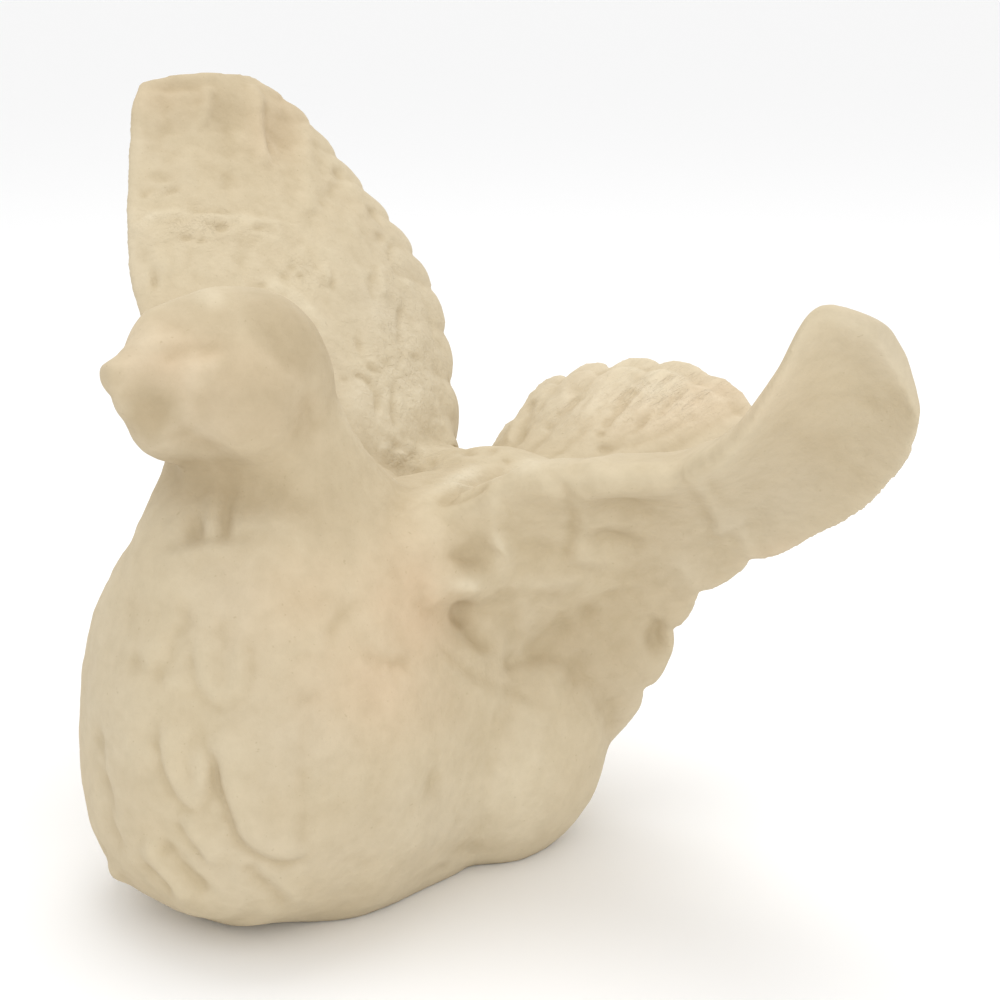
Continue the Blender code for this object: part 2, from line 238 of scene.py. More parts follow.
def wing(stations, camber, lobe_count, lobe_depth, lobe_out, upper_relief=None, lower_relief=None, plain=(9.0, 8.0), steps=300, across=90):
    """Wing blade. plain: where along it the rim's lobes end."""
    lead = [s[0] for s in stations]
    trail = [s[1] for s in stations]
    t = np.linspace(0, 1, steps + 1)
    side = 1.0 if lead[-1][0] > 0 else -1.0
    a, b = spline(lead, t), spline(trail, t)
    half = spline([s[2] for s in stations], t) / 2
    both = lambda x: spline(lead, np.clip(x, 0, 1)) + spline(trail, np.clip(x, 0, 1))
    along = both(t + 0.02) - both(t - 0.02)
    along /= np.linalg.norm(along, axis=1, keepdims=True)
    out = b - a
    out /= np.linalg.norm(out, axis=1, keepdims=True)
    b = b + out * (lobes(t, lobe_count, 1.0, lobe_out) * lobe_depth * np.minimum(1.0, 7.0 * t) * smooth(*plain, t))[:, None]
    up = np.cross(along, out)
    up /= np.linalg.norm(up, axis=1, keepdims=True)
    up *= side
    bow = (camber * (0.35 + 0.65 * np.sin(math.pi * np.minimum(1.0, 0.1 + 0.9 * t))))[:, None]
    m = np.arange(2 * across)
    upper = m < across
    c = np.where(upper, m / across, 1.0 - (m - across) / across)
    c = (0.5 - 0.5 * np.cos(math.pi * c))[None, :]
    swell = (1.0 - (2 * c - 1) ** 2) ** 0.42 * (1.15 - 0.45 * c)
    lift = bow * 4 * c * (1 - c) + np.where(upper, half, -half) * swell
    tt = np.broadcast_to(t[:, None], lift.shape)
    cc = np.broadcast_to(c, lift.shape)
    if upper_relief is not None:
        lift = lift + np.where(upper, upper_relief(tt, cc), 0.0)
    if lower_relief is not None:
        lift = lift - np.where(upper, 0.0, lower_relief(tt, cc))
    rings = a[:, None] + (b - a)[:, None] * c[..., None] + up[:, None] * lift[..., None]
    return rings if side > 0 else rings[:, ::-1]


def tail(steps=160, across=150):
    along = np.array((0.0, math.cos(TAIL_RISE), math.sin(TAIL_RISE)))
    over = np.array((0.0, -math.sin(TAIL_RISE), math.cos(TAIL_RISE)))
    side = np.array((1.0, 0.0, 0.0))
    r = np.linspace(0, 1, steps + 1)[:, None]
    m = np.arange(2 * across)
    upper = m < across
    c = np.where(upper, m / across, 1.0 - (m - across) / across)
    u = -np.cos(math.pi * c)[None, :]
    angle = u * np.where(u > 0, TAIL_HALF_SPREAD[1], TAIL_HALF_SPREAD[0])
    feather = TAIL_FEATHERS * (u + 1) + TAIL_SHIFT
    end = np.where(feather < len(TAIL_STEPS), np.array(TAIL_STEPS)[np.clip((feather - 0.14 * (feather < 1.14)).astype(int), 0, len(TAIL_STEPS) - 1)], 1.015 + 0.1 * u - 0.045 * u * u)
    end = end + lobes(feather, 1.0, 1.0) * (0.012 + 0.033 * smooth(0.4, -0.2, u)) - 0.012 - 0.016 * smooth(0.3, -0.2, u) * (feather > 1.14)
    reach = 6.0 + (TAIL_LENGTH * end - 6.0) * r
    half = TAIL_THICK * (1.0 - 0.45 * r) * np.clip(1 - u * u, 0.12, None) ** 0.3 * (np.abs(u) < 0.9999)
    half = half * np.where(r < 0.93, 1.0, 0.65)
    dish = -7.0 * u * u * (0.3 + 0.7 * r)
    lift = dish + np.where(upper, half, -half) * 0.5 - np.where(upper, 0.5 * (0.5 + 0.5 * np.cos(2 * np.pi * feather)) ** 3 * smooth(0.15, 0.5, r), 0.0)
    across_by = reach * np.sin(angle) + np.where(u > 0, 10.0, 7.0) * u * (1 - r)
    p = TAIL_ROOT + (reach * np.cos(angle))[..., None] * along + across_by[..., None] * side + lift[..., None] * over
    return np.concatenate([p[:, :1], p[:, :0:-1]], 1)


# ---------------------------------------------------------------- feather relief of the sides that the picture hides
def feather_rows(t, c):
    """Long feathers that fan toward the rim under two rows of rounded coverts. t runs to the tip, c to the trailing edge."""
    q = 11.0 * (t - (0.10 + 0.35 * t * t) * (c - 1.0))
    f = q % 1.0
    vane = 0.55 * np.sqrt(np.clip(1 - (2 * f - 1) ** 2, 0, None)) - 0.3
    long_part = smooth(0.42, 0.55, c) * vane
    rows = np.zeros_like(t)
    for k, (c0, c1) in enumerate(((0.08, 0.34), (0.28, 0.58))):
        n = 15 - 3 * k
        f = (t * n + 0.5 * k) % 1.0
        edge = c1 - 0.10 * (2 * f - 1) ** 2
        body = smooth(c0, edge, c) * (c < edge) * (1 - 0.5 * (2 * f - 1) ** 4)
        rows = np.maximum(rows, 1.0 * body * (1 - 0.25 * k))
    fade = smooth(0.0, 0.12, t) * smooth(1.0, 0.94, t)
    return (long_part + rows * 0.9) * fade


# ---------------------------------------------------------------- one skin
shells = Shells()
shells.loft(torso())
for side in (1, -1):
    for middle, half in (HAUNCH, SHOULDER, CHEEK):
        shells.loft(egg((side * middle[0], middle[1], middle[2]), half))
shells.loft(level(NECK, 80))
shells.loft(upright(HEAD, 100))
shells.loft(egg(*SADDLE))
shells.loft(egg(*WING_FOOT))
shells.loft(wing(FAR_WING, FAR_CAMBER, FAR_LOBES, FAR_LOBE_DEPTH, 0.25, lower_relief=feather_rows))
shells.loft(wing(NEAR_WING, NEAR_CAMBER, NEAR_LOBES, NEAR_LOBE_DEPTH, 0.05, upper_relief=feather_rows, plain=(0.68, 0.52)))
shells.loft(tail(), flat=True)
forms = shells.mesh()


def evaluated(mesh, *modifiers):
    """The mesh after some modifiers."""
    ob = bpy.data.objects.new("working", mesh)
    bpy.context.scene.collection.objects.link(ob)
    for kind, values in modifiers:
        m = ob.modifiers.new(kind, kind)
        for key, value in values.items():
            setattr(m, key, value)
    out = bpy.data.meshes.new_from_object(ob.evaluated_get(bpy.context.evaluated_depsgraph_get()))
    bpy.data.objects.remove(ob, do_unlink=True)
    return out


import bmesh

bm = bmesh.new()
bm.from_mesh(forms)
bmesh.ops.recalc_face_normals(bm, faces=bm.faces)
bm.to_mesh(forms)
bm.free()
skin = evaluated(forms, ("REMESH", {"mode": "VOXEL", "voxel_size": VOXEL, "adaptivity": 0.0}))


def points_of(mesh):
    p = np.empty(len(mesh.vertices) * 3, np.float32)
    mesh.vertices.foreach_get("co", p)
    return p.reshape(-1, 3).astype(float)


def normals_of(mesh):
    n = np.empty(len(mesh.vertices) * 3, np.float32)
    mesh.vertex_normals.foreach_get("vector", n)
    return n.reshape(-1, 3).astype(float)


def edges_of(mesh):
    e = np.empty(len(mesh.edges) * 2, np.int32)
    mesh.edges.foreach_get("vertices", e)
    return e.reshape(-1, 2)


def put(mesh, p):
    mesh.vertices.foreach_set("co", p.astype(np.float32).ravel())
    mesh.update()


def neighbour_mean(p, e, count):
    total = np.stack([np.bincount(e[:, 0], p[e[:, 1], i], count) + np.bincount(e[:, 1], p[e[:, 0], i], count) for i in range(p.shape[1])], -1)
    return total / np.maximum(count_of(e, count), 1)[:, None]


def count_of(e, count):
    return np.bincount(e.ravel(), minlength=count)


P = points_of(skin)
E = edges_of(skin)
# joints between forms are run together softly; feather rims stay crisp
x, y, z = P.T
trunk = np.maximum.reduce([
    smooth(34, 26, np.abs(x)) * smooth(80, 70, z) * smooth(56, 48, y),
    smooth(20, 16, np.abs(x)) * (y < 8) * smooth(-47, -39, y),
])
fan = smooth(48, 54, y) * smooth(55, 60, z)  # the tail keeps the steps between its feathers
for k in range(26):
    w = np.where(k < 6, 0.5 - 0.35 * fan, 0.5 * trunk)
    P = P + (neighbour_mean(P, E, len(P)) - P) * (w[:, None] if np.ndim(w) else w)
for k in range(70):  # the head runs softly down in the throat
    w = 0.5 * np.exp(-(((P[:, 2] - 85) / 7) ** 2)) * smooth(-2, 7, P[:, 0]) * smooth(-10, -18, P[:, 1])
    P = P + (neighbour_mean(P, E, len(P)) - P) * w[:, None]
for k in range(90):  # the foot of the far wing runs softly down in the back
    w = 0.5 * np.exp(-(((P - np.array((-16.0, 42.0, 67.0))) / np.array((11.0, 13.0, 10.0))) ** 2).sum(1)) * smooth(56, 62, P[:, 2]) * smooth(56, 48, P[:, 1])
    P = P + (neighbour_mean(P, E, len(P)) - P) * w[:, None]
put(skin, P)
for at, reach, height, behind in (
    ((143, 319), 4.5, 1.1, False), ((121, 352), 3.2, -0.9, False), ((108, 393), 2.2, -0.9, False), ((122, 428), 4.0, -0.9, False), ((152, 462), 3.5, -0.7, False),
    ((116, 873), 2.6, 1.3, False), ((103, 851), 3.0, -0.5, False), ((455, 443), 4.6, 2.2, True),
):
    N, shown = normals_of(skin), in_picture(P)  # the outline is pushed out or in around a place on it
    turned = np.einsum("ij,ij->i", N, EYE - P) / np.linalg.norm(EYE - P, axis=1)
    there = P[(np.abs(turned) < 0.15) & (np.linalg.norm(shown - np.array(at), axis=1) < 14) & ((P[:, 0] < -20) if behind else (P[:, 0] > -16))]
    if len(there):
        P = P + N * (height * np.exp(-(((P - there.mean(0)) / reach) ** 2).sum(1)))[:, None]
        put(skin, P)

# ---------------------------------------------------------------- carving
N = normals_of(skin)
UV = in_picture(P)
FACING = np.einsum("ij,ij->i", N, EYE - P) / np.linalg.norm(EYE - P, axis=1)
SEEN = smooth(0.02, 0.2, FACING)
carve = np.zeros(len(P))
x, y, z = P.T


def value_noise(p, size, seed):
    """Smooth noise from -1 to 1 on a lattice of that size."""
    q = p / size
    i = np.floor(q).astype(np.int64)
    f = q - i
    f = f * f * (3 - 2 * f)
    out = np.zeros(len(p))
    for dx in (0, 1):
        for dy in (0, 1):
            for dz in (0, 1):
                a = i + np.array((dx, dy, dz))
                h = (a[:, 0] * 374761393 + a[:, 1] * 668265263 + a[:, 2] * 2147483647 + seed * 1274126177) & 0x7FFFFFFF
                h = ((h ^ (h >> 13)) * 1274126177) & 0x7FFFFFFF
                h = (h ^ (h >> 16)) & 0xFFFF
                w = np.where(dx, f[:, 0], 1 - f[:, 0]) * np.where(dy, f[:, 1], 1 - f[:, 1]) * np.where(dz, f[:, 2], 1 - f[:, 2])
                out += w * (h / 32767.5 - 1.0)
    return out


# The strokes below are drawn where they show in the picture, in its pixels, so each part of the skin has its own region.
FAR = (x < -16) | ((x < -4) & (y > -3) & (z > 48))
TAIL = (y > 40) & (z > 55) & (np.abs(x) < 42) & ~((x < -24) & (z > 66) & (y < 60))
FAR &= ~TAIL
FORE = ~FAR & ~TAIL
ALL = np.ones(len(P), bool)
DRAWN = UV + 1.3 * np.stack([value_noise(P, 5.0, 11), value_noise(P, 5.0, 12)], -1)  # an unsteady hand


UNEVEN = 0.75 + 0.45 * value_noise(P, 3.2, 21)  # strokes that fade and deepen


def near_line(points, reach, region):
    """Vertices near a line: which ones, how far in pixels (positive on its right), and how far along it."""
    line = spline(points, np.linspace(0, 1, 6 * len(points)))
    lo, hi = line.min(0) - reach, line.max(0) + reach
    who = np.flatnonzero(region & (SEEN > 0) & (DRAWN > lo).all(1) & (DRAWN < hi).all(1))
    q = DRAWN[who]
    step = np.diff(line, axis=0)
    size = np.linalg.norm(step, axis=1)
    before = np.concatenate([[0], np.cumsum(size)])
    best = np.full(len(q), 1e9)
    side, place = np.ones(len(q)), np.zeros(len(q))
    for i in range(len(step)):
        if size[i] < 1e-6:
            continue
        f = np.clip((q - line[i]) @ step[i] / size[i] ** 2, 0, 1)
        d = np.linalg.norm(q - line[i] - f[:, None] * step[i], axis=1)
        closer = d < best
        best = np.where(closer, d, best)
        turn = step[i][0] * (q[:, 1] - line[i][1]) - step[i][1] * (q[:, 0] - line[i][0])
        side = np.where(closer, np.where(turn < 0, -1.0, 1.0), side)
        place = np.where(closer, (before[i] + f * size[i]) / before[-1], place)
    return who, best * side, place


def groove(region, depth, width, points, taper=0.18):
    width = width * (1.35 if region is FORE else 1.15)
    who, d, place = near_line(points, 3 * width, region)
    fade = smooth(-0.02, taper, place) * smooth(1.02, 1 - taper, place) * (UNEVEN[who] if region is FORE or depth < 0 else smooth(0.35, 0.95, UNEVEN[who]))
    carve[who] -= depth * np.exp(-((d / width) ** 2)) * fade * SEEN[who]


def ridge(region, height, width, points, taper=0.18):
    groove(region, -height, width, points, taper)


def edge(region, height, reach, points, taper=0.12):
    """End of a bed of feathers, which is raised on the right of the line and falls away from it slowly."""
    who, d, place = near_line(points, 2.2 * reach, region)
    fade = smooth(-0.02, taper, place) * smooth(1.02, 1 - taper, place) * (smooth(0.3, 1.0, UNEVEN[who]) if region is FAR else 1.0)
    up = smooth(-2.0, 2.5, d) * np.exp(-((np.maximum(d, 0) / reach) ** 2))
    carve[who] += height * (up - 0.35 * np.exp(-(((d + 4) / 4) ** 2))) * fade * SEEN[who]


def radius(region, at, size, turn, reach):
    c, s = math.cos(math.radians(turn)), math.sin(math.radians(turn))
    q = DRAWN - np.array(at)
    u = (q[:, 0] * c + q[:, 1] * s) / size[0]
    v = (-q[:, 0] * s + q[:, 1] * c) / size[1]
    r = np.hypot(u, v)
    who = np.flatnonzero(region & (SEEN > 0) & (r < reach))
    return who, r[who]


def hollow(region, depth, at, size, turn=0.0):
    who, r = radius(region, at, size, turn, 2.4)
    carve[who] -= depth * np.exp(-((r / 0.9) ** 2)) * SEEN[who]


def lump(region, height, at, size, turn=0.0):
    hollow(region, -height, at, size, turn)


def scale(region, height, at, size, turn=0.0, dish=0.0):
    """One rounded feather: a raised pad with a crisp rim, and a dished middle if wanted."""
    who, r = radius(region, at, size, turn, 1.7)
    pad = 1.0 - smooth(0.72, 1.12, r)
    line = np.exp(-(((r - 1.16) / 0.14) ** 2))
    height = height * (0.65 if region is FAR else 1.0)
    carve[who] += (height * pad - 0.2 * height * line - dish * np.exp(-((r / 0.55) ** 2))) * SEEN[who]


# long feathers of the far wing
ridge(FAR, 0.35, 6, [(139, 84), (138, 140), (137, 185)])
hollow(FAR, 0.9, (177, 87), (30, 7))
groove(FAR, 0.7, 12, [(164, 92), (166, 130), (163, 186)], 0.08)
ridge(FAR, 1.0, 5, [(209, 84), (207, 104), (203, 128)])
ridge(FAR, 0.45, 10, [(196, 105), (190, 150), (184, 186)], 0.06)
hollow(FAR, 0.8, (232, 118), (16, 24), -6)
groove(FAR, 0.4, 12, [(230, 120), (231, 160), (229, 200)])
ridge(FAR, 1.0, 6, [(249, 86), (259, 104), (262, 128), (263, 168)], 0.06)
hollow(FAR, 1.5, (281, 128), (17, 34), -8)
groove(FAR, 0.6, 4, [(267, 98), (267, 126), (273, 158)])
ridge(FAR, 0.8, 8, [(304, 122), (308, 160), (310, 215)], 0.06)
groove(FAR, 0.4, 10, [(284, 165), (287, 190), (289, 212)])
groove(FAR, 1.0, 5, [(340, 164), (331, 192), (320, 208)])
ridge(FAR, 0.5, 9, [(352, 175), (357, 205), (352, 240)])
groove(FAR, 0.7, 5, [(369, 205), (379, 228), (384, 244)])
ridge(FAR, 0.4, 7, [(392, 226), (402, 245), (407, 268)])
# upper coverts of the far wing: the end of their bed is broken and crumbly
edge(FAR, 0.6, 26, [(130, 226), (152, 215), (176, 212), (198, 214), (240, 218), (284, 223)], 0.03)
edge(FAR, 0.35, 24, [(284, 223), (302, 250), (312, 268), (326, 275)], 0.1)
groove(FAR, 1.1, 3.5, [(137, 197), (150, 190), (166, 192), (182, 187)])
ridge(FAR, 0.5, 3.5, [(138, 216), (160, 211), (193, 211)])
ridge(FAR, 0.5, 3.5, [(199, 216), (228, 219), (252, 217), (282, 224)])
for at, size in (((168, 250), (20, 25)), ((216, 256), (24, 26)), ((270, 262), (22, 27)), ((306, 302), (18, 24))):
    scale(FAR, 0.22, at, size, 6, 0.1)
for at, size, deep in (
    ((186, 238), (7, 3), 0.8), ((201, 241), (5, 4), 0.7), ((221, 229), (6, 4), 0.9), ((258, 229), (7, 3), 0.6), ((154, 281), (4, 11), 0.9),
    ((286, 276), (6, 5), 0.6), ((292, 268), (4, 4), 0.5), ((301, 276), (4, 4), 0.5), ((142, 262), (10, 26), 0.4), ((240, 262), (5, 9), 0.3),
    ((262, 285), (9, 3), 0.4), ((333, 284), (3, 8), 0.7), ((172, 262), (4, 9), 0.3),
):
    hollow(FAR, deep, at, size)
ridge(FAR, 0.5, 3.5, [(319, 268), (327, 272), (328, 286)])
ridge(FAR, 0.6, 4, [(262, 283), (290, 294), (312, 312), (328, 330)])
# lower coverts of the far wing, down to its root
groove(FAR, 0.8, 3.0, [(392, 242), (390, 254), (388, 268)])
ridge(FAR, 0.6, 4, [(384, 262), (382, 280), (384, 298)])
groove(FAR, 0.5, 3.5, [(374, 272), (372, 288), (376, 302)])
ridge(FAR, 0.5, 5, [(407, 276), (409, 296), (412, 322)])
groove(FAR, 0.7, 3.0, [(402, 300), (399, 326), (402, 350), (399, 370)])
lump(FAR, 0.5, (376, 328), (12, 30), -4)
groove(FAR, 0.9, 3.0, [(356, 330), (361, 350), (369, 365), (379, 371), (390, 360)])
groove(FAR, 0.5, 3.5, [(339, 322), (346, 340), (353, 356)])
lump(FAR, 0.5, (420, 325), (10, 32), 3)
groove(FAR, 0.5, 3.0, [(432, 302), (437, 330), (428, 350), (414, 357), (404, 351)])
lump(FAR, 0.7, (357, 404), (13, 26), -3)
hollow(FAR, 0.5, (345, 380), (4, 2.5))
groove(FAR, 0.8, 3.0, [(349, 377), (360, 377), (370, 383), (377, 398), (378, 416)])
groove(FAR, 0.7, 3.0, [(397, 378), (394, 404), (397, 430)])
lump(FAR, 0.4, (418, 402), (10, 26))
groove(FAR, 0.4, 6, [(436, 382), (440, 404), (437, 424)])
ridge(FAR, 0.4, 6, [(450, 350), (452, 390), (452, 420)])
groove(FAR, 0.3, 6, [(425, 424), (436, 433), (450, 440)])
ridge(FAR, 0.3, 6, [(434, 418), (445, 427), (456, 434)])
for at, up in (((385, 449), 0.5), ((396, 446), -0.4), ((402, 455), 0.5), ((411, 446), 0.4), ((414, 458), -0.5), ((424, 451), 0.5), ((431, 462), -0.4)):
    lump(ALL, up, at, (5, 4), 20)
groove(ALL, 0.4, 5, [(378, 462), (392, 466), (406, 470), (420, 472)])
# the back between the wings
lump(ALL, 1.3, (463, 478), (26, 8), -22)
groove(ALL, 1.7, 5, [(436, 508), (460, 498), (490, 484)])
groove(ALL, 1.0, 3.5, [(497, 478), (503, 468), (508, 456)])
lump(ALL, 1.1, (528, 467), (21, 7), -12)
lump(ALL, 0.7, (560, 462), (12, 6), -8)
groove(ALL, 0.9, 4, [(456, 446), (478, 453), (500, 446)])

# tail feathers
groove(TAIL, 0.7, 4, [(534, 400), (526, 420), (517, 443)], 0.08)
ridge(TAIL, 0.5, 4, [(516, 418), (512, 430), (508, 444)], 0.08)
groove(TAIL, 1.0, 4, [(583, 388), (570, 403), (555, 414), (544, 429)], 0.08)
groove(TAIL, 1.6, 4.5, [(637, 386), (624, 398), (612, 412), (596, 434)], 0.08)
for deep, wide, line in (
    (0.7, 3.5, [(647, 392), (632, 412), (618, 433)]), (0.6, 3.5, [(664, 392), (648, 414), (634, 436)]), (0.6, 3.5, [(694, 384), (674, 400), (652, 420)]),
    (0.5, 3.5, [(710, 390), (692, 404), (672, 419)]), (0.5, 3.5, [(728, 402), (706, 412), (686, 421)]), (0.4, 3.5, [(740, 412), (716, 420)]),
    (0.6, 3.5, [(603, 378), (592, 394), (578, 414)]), (0.5, 3.5, [(562, 388), (550, 406), (540, 418)]), (0.7, 5, [(612, 450), (640, 441), (670, 430), (711, 411)]),
    (0.6, 3.5, [(619, 382), (608, 398), (596, 416)]), (0.5, 3.5, [(676, 370), (662, 386)]), (0.5, 3.5, [(587, 372), (576, 390), (562, 408)]),
):
    groove(TAIL, 0.7 * deep, 0.8 * wide, line)
hollow(TAIL, 0.8, (605, 447), (10, 5))
hollow(TAIL, 0.6, (574, 390), (11, 6))
lump(TAIL, 0.4, (545, 400), (9, 8))
ridge(TAIL, 0.5, 6, [(600, 374), (592, 402), (577, 428)])
ridge(TAIL, 0.4, 6, [(664, 368), (650, 388), (632, 420)])

# near wing: leading ridge, hollows under it and the step to the plain blade
ridge(FORE, 1.3, 12, [(575, 478), (610, 473), (640, 474), (674, 480)])
ridge(FORE, 0.5, 6, [(680, 466), (715, 446), (752, 419)])
edge(FORE, 0.8, 28, [(541, 474), (552, 486), (564, 494), (580, 501)])
edge(FORE, 1.1, 40, [(570, 564), (575, 540), (575, 512), (566, 486)])
hollow(FORE, 1.9, (622, 508), (46, 12), 3)
hollow(FORE, 1.3, (604, 537), (30, 9), 6)
groove(FORE, 0.8, 6, [(590, 540), (618, 544), (644, 542)])
edge(FORE, 1.0, 30, [(716, 536), (709, 510), (696, 490), (678, 470)])
hollow(FORE, 0.9, (708, 482), (20, 11), 48)
hollow(FORE, 2.6, (472, 556), (24, 13), 14)
ridge(FORE, 2.2, 6, [(484, 530), (500, 545), (507, 562), (498, 580)], 0.3)
ridge(FORE, 1.7, 6, [(448, 572), (462, 584), (484, 588)], 0.3)
lump(FORE, 0.9, (437, 590), (12, 15))
groove(FORE, 2.2, 7, [(456, 598), (466, 620), (480, 638), (493, 652)], 0.2)
hollow(FORE, 1.4, (540, 554), (30, 15), 2)
lump(FORE, 1.0, (541, 582), (36, 8), -2)
hollow(FORE, 1.9, (563, 631), (28, 15), -28)
groove(FORE, 0.9, 7, [(514, 668), (535, 650), (560, 636)], 0.25)
hollow(FORE, 1.1, (588, 615), (9, 12))
hollow(FORE, 1.4, (513, 664), (8, 9))
lump(FORE, 0.8, (525, 622), (12, 24))
lump(FORE, 0.6, (553, 672), (15, 13))
lump(FORE, 0.8, (594, 672), (16, 26))
edge(FORE, 0.55, 40, [(428, 640), (468, 678), (498, 690), (528, 703), (560, 712)], 0.3)
hollow(FORE, 2.4, (656, 640), (10, 18))
lump(FORE, 0.5, (775, 548), (9, 8))
edge(FORE, 0.6, 20, [(625, 588), (600, 594), (584, 606)], 0.3)
edge(FORE, 0.6, 24, [(500, 480), (497, 500), (508, 526)], 0.3)
lump(FORE, 0.8, (432, 522), (20, 26), -20)
groove(FORE, 0.8, 6, [(402, 548), (412, 566), (428, 586)])
groove(FORE, 0.4, 9, [(858, 384), (868, 400), (872, 420)], 0.4)

# head: blunt beak, brow over a round cheek, throat drawn in under it
lump(FORE, 1.1, (209, 298), (14, 11))
groove(FORE, 0.7, 8, [(146, 322), (168, 320), (192, 326)], 0.3)
lump(FORE, 0.9, (154, 344), (20, 13), -25)
groove(FORE, 1.1, 9, [(148, 368), (168, 356), (198, 350), (232, 342), (264, 338)], 0.3)
lump(FORE, 0.8, (247, 402), (52, 46))
edge(FORE, 0.5, 46, [(181, 404), (183, 386), (196, 368), (224, 354)], 0.35)
groove(FORE, 0.8, 10, [(173, 398), (182, 428), (204, 452), (234, 466)], 0.3)
lump(FORE, 0.8, (196, 376), (18, 17))
groove(FORE, 0.8, 14, [(300, 388), (308, 418), (297, 452)], 0.35)
hollow(FORE, 0.8, (152, 412), (26, 34), 8)
hollow(FORE, 0.7, (122, 398), (13, 8))
groove(FORE, 0.8, 14, [(148, 402), (163, 428), (186, 447), (218, 460)], 0.3)
ridge(FORE, 0.8, 6, [(102, 377), (120, 371), (144, 364)])
hollow(FORE, 3.2, (222, 488), (62, 30), 6)
hollow(FORE, 1.5, (295, 497), (46, 28), 20)
hollow(FORE, 2.2, (193, 526), (12, 20), -16)
hollow(FORE, 2.3, (222, 519), (7, 18), 4)
ridge(FORE, 1.3, 6, [(209, 488), (208, 512), (209, 536)])
ridge(FORE, 0.7, 5, [(176, 556), (204, 545), (240, 552)])
edge(FORE, 0.5, 28, [(152, 556), (180, 547), (210, 543), (245, 541), (290, 548)], 0.2)

# breast and thighs: tongues of feathers laid over each other
lump(FORE, 0.9, (157, 652), (22, 22))
groove(FORE, 1.1, 6, [(190, 596), (182, 625), (168, 655), (152, 688)])
lump(FORE, 0.7, (178, 681), (12, 9))
hollow(FORE, 0.8, (135, 662), (6, 9))
edge(FORE, 1.1, 26, [(243, 640), (245, 672), (238, 694), (222, 703), (206, 694), (196, 670), (194, 632)])
hollow(FORE, 0.6, (218, 640), (22, 40))
hollow(FORE, 0.6, (307, 699), (12, 9))
ridge(FORE, 0.6, 9, [(278, 610), (280, 705)])
groove(FORE, 1.3, 5, [(360, 652), (386, 661), (414, 664)])
edge(FORE, 0.5, 26, [(360, 592), (342, 606), (328, 628), (324, 660)])
groove(FORE, 0.4, 6, [(356, 594), (336, 612), (324, 640)])
lump(FORE, 0.8, (372, 626), (24, 22))
edge(FORE, 1.6, 24, [(214, 742), (211, 780), (204, 801), (193, 805), (177, 792), (165, 764), (161, 722)])
edge(FORE, 2.0, 32, [(310, 854), (285, 858), (262, 853), (243, 840), (231, 812), (222, 782), (207, 736)])
groove(FORE, 0.9, 4, [(209, 738), (222, 782), (231, 812), (243, 840), (262, 853), (300, 857)])
edge(FORE, 1.6, 18, [(212, 866), (202, 850), (190, 836), (180, 815)])
ridge(FORE, 2.2, 5, [(146, 842), (165, 866), (190, 900)], 0.08)
groove(FORE, 2.2, 5, [(160, 846), (180, 870), (206, 892)], 0.08)
groove(FORE, 1.2, 5, [(140, 862), (160, 880), (176, 892)])
groove(FORE, 1.8, 5, [(95, 715), (96, 760), (103, 795), (108, 825), (116, 846), (132, 862)])
edge(FORE, 0.7, 14, [(128, 742), (146, 746), (166, 756)])
groove(FORE, 1.5, 6, [(246, 860), (262, 882), (290, 908)])
ridge(FORE, 0.9, 5, [(262, 866), (282, 886), (306, 903)])
groove(FORE, 0.6, 4, [(303, 705), (303, 852)])
hollow(FORE, 1.0, (433, 785), (8, 18))
lump(FORE, 0.8, (452, 738), (20, 26))
lump(FORE, 0.5, (118, 871), (6, 5))
hollow(FORE, 0.8, (440, 868), (6, 4))
lump(FORE, 0.8, (520, 780), (40, 55))
lump(FORE, 0.6, (420, 835), (34, 22), -20)
hollow(FORE, 0.7, (470, 848), (26, 8), -10)

# worn and blurred, as in a much used mould: more on the head, breast and near wing than on the far wing and tail
rounds = np.where(FORE, 9, 2)
for k in range(9):
    spread = neighbour_mean(carve[:, None], E, len(P))[:, 0]
    carve = np.where(k < rounds, 0.4 * carve + 0.6 * spread, carve)

# hand-worked unevenness
blade = smooth(52, 66, x)
carve += (1 - 0.6 * blade) * (0.28 * value_noise(P, 9.0, 1) + 0.13 * value_noise(P, 4.0, 2)) + (1 - 0.8 * blade) * 0.07 * value_noise(P, 1.6, 3)
P = P + N * carve[:, None]

# flat underside
put(skin, P)
bm = bmesh.new()
bm.from_mesh(skin)
bmesh.ops.bisect_plane(bm, geom=bm.verts[:] + bm.edges[:] + bm.faces[:], dist=0.05, plane_co=(0, 0, 0), plane_no=(0, 0, 1), clear_inner=True)
rim = [e for e in bm.edges if e.is_boundary]
bmesh.ops.contextual_create(bm, geom=rim)
bmesh.ops.triangulate(bm, faces=bm.faces)
bm.to_mesh(skin)
bm.free()
triangles = len(skin.polygons)
if triangles > MOST_TRIANGLES:
    skin = evaluated(skin, ("DECIMATE", {"ratio": MOST_TRIANGLES / triangles}))
P = (points_of(skin) - MIDDLE) * MM
P[:, 2] = np.maximum(P[:, 2], 0.0)
put(skin, P)
# how sunken each point is; the finish is made darker in the creases
E, N, soft, sunken = edges_of(skin), normals_of(skin), P.copy(), 0.0
for k in range(30):
    soft += (neighbour_mean(soft, E, len(P)) - soft) * 0.7
    if k in (4, 29):
        sunken = sunken + np.einsum("ij,ij->i", soft - P, N) / MM * (2.2 if k == 4 else 1.0)
skin.attributes.new("sunken", "FLOAT", "POINT").data.foreach_set("value", sunken.astype(np.float32))
# colour of the casting: where it is a little pinker, paler (rubbed pale, with painted light), darker (dirt, with
# painted shade), or crumbly
SHOWN = in_picture(P / MM + MIDDLE)
SIDE = smooth(-0.15, 0.15, np.einsum("ij,ij->i", N, (EYE - MIDDLE) * MM - P) / np.linalg.norm((EYE - MIDDLE) * MM - P, axis=1))


WING_BEHIND = smooth(-14, -18, P[:, 0] / MM + MIDDLE[0])


